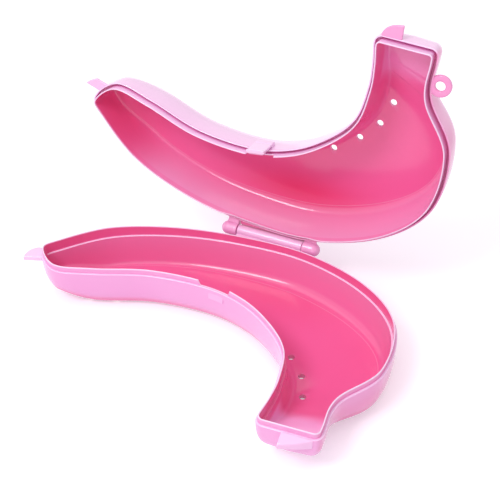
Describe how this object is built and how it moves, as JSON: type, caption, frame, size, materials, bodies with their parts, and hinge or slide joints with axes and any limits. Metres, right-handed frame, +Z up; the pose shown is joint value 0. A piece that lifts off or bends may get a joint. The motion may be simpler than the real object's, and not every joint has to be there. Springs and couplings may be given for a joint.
{
  "type": "banana carrying case",
  "caption": "Banana-shaped hinged carrying case in glossy pink plastic, open, with a nested rim, snap latch, pull tabs, hang loop and vent holes.",
  "frame": {"origin": "middle of the body on the flat underside of the base", "axes": "+Z up, +X along the hinge from the tip towards the bend, -Y towards the hollow side of the bow"},
  "size_m": [0.1955, 0.1539, 0.1466],
  "materials": {
    "pink_plastic": "glossy moulded pink plastic"
  },
  "bodies": {
    "base": {"base_shell": "pink_plastic", "hinge_barrel": "pink_plastic", "latch_catch": "pink_plastic", "base_stem_tab": "pink_plastic", "base_tip_tab": "pink_plastic"},
    "lid": {"lid_shell": "pink_plastic", "hinge_ear_left": "pink_plastic", "hinge_ear_right": "pink_plastic", "hinge_web": "pink_plastic", "latch_root": "pink_plastic", "lid_stem_tab": "pink_plastic", "lid_tip_tab": "pink_plastic", "hang_loop": "pink_plastic"},
    "latch": {"latch_tongue": "pink_plastic"}
  },
  "joints": [
    {"name": "lid_hinge", "type": "hinge", "parent": "base", "child": "lid", "pos_m": [0.0145, 0.02735, 0.0225], "axis": [1, 0, 0], "range_deg": [0, 96]},
    {"name": "latch_flex", "type": "hinge", "parent": "lid", "child": "latch", "pos_m": [0.00714, 0.03512, 0.07339], "axis": [-0.9938, -0.0116, -0.1105], "range_deg": [0, 12], "stiffness_Nm_per_rad": 0.2}
  ]
}
